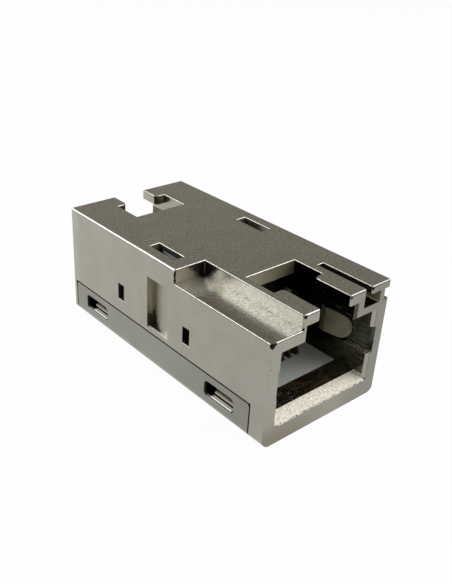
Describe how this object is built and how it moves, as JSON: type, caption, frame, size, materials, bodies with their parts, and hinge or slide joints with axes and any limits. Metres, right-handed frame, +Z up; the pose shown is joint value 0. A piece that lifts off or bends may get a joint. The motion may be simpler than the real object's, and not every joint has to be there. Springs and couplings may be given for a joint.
{
  "type": "rj45 inline coupler",
  "caption": "Shielded inline coupler that joins two modular plugs end to end: plated die-cast body with latch notches, clip-on cover, mounting rebate and rail.",
  "frame": {"origin": "under the middle of the body, on the surface that the cover rests on", "axes": "+Y from the front port to the back port, +X to the right as one looks into the front port, +Z up, towards the latch side"},
  "size_m": [0.0152, 0.0312, 0.0125],
  "materials": {
    "plated_zinc": "satin nickel plate",
    "plated_zinc_cover": "satin nickel plate",
    "circuit_board": "satin green mask",
    "grey_plastic": "satin",
    "gold_wire": "gold plated",
    "spring_bronze": "satin"
  },
  "bodies": {
    "root": {"housing": "plated_zinc", "bottom_cover": "plated_zinc_cover", "circuit_board": "circuit_board", "front_contact_carrier": "grey_plastic", "back_contact_carrier": "grey_plastic", "front_contact_1": "gold_wire", "front_contact_2": "gold_wire", "front_contact_3": "gold_wire", "front_contact_4": "gold_wire", "front_contact_5": "gold_wire", "front_contact_6": "gold_wire", "front_contact_7": "gold_wire", "front_contact_8": "gold_wire", "front_shield_spring_left": "spring_bronze", "front_shield_spring_right": "spring_bronze", "back_contact_1": "gold_wire", "back_contact_2": "gold_wire", "back_contact_3": "gold_wire", "back_contact_4": "gold_wire", "back_contact_5": "gold_wire", "back_contact_6": "gold_wire", "back_contact_7": "gold_wire", "back_contact_8": "gold_wire", "back_shield_spring_left": "spring_bronze", "back_shield_spring_right": "spring_bronze"}
  },
  "joints": []
}
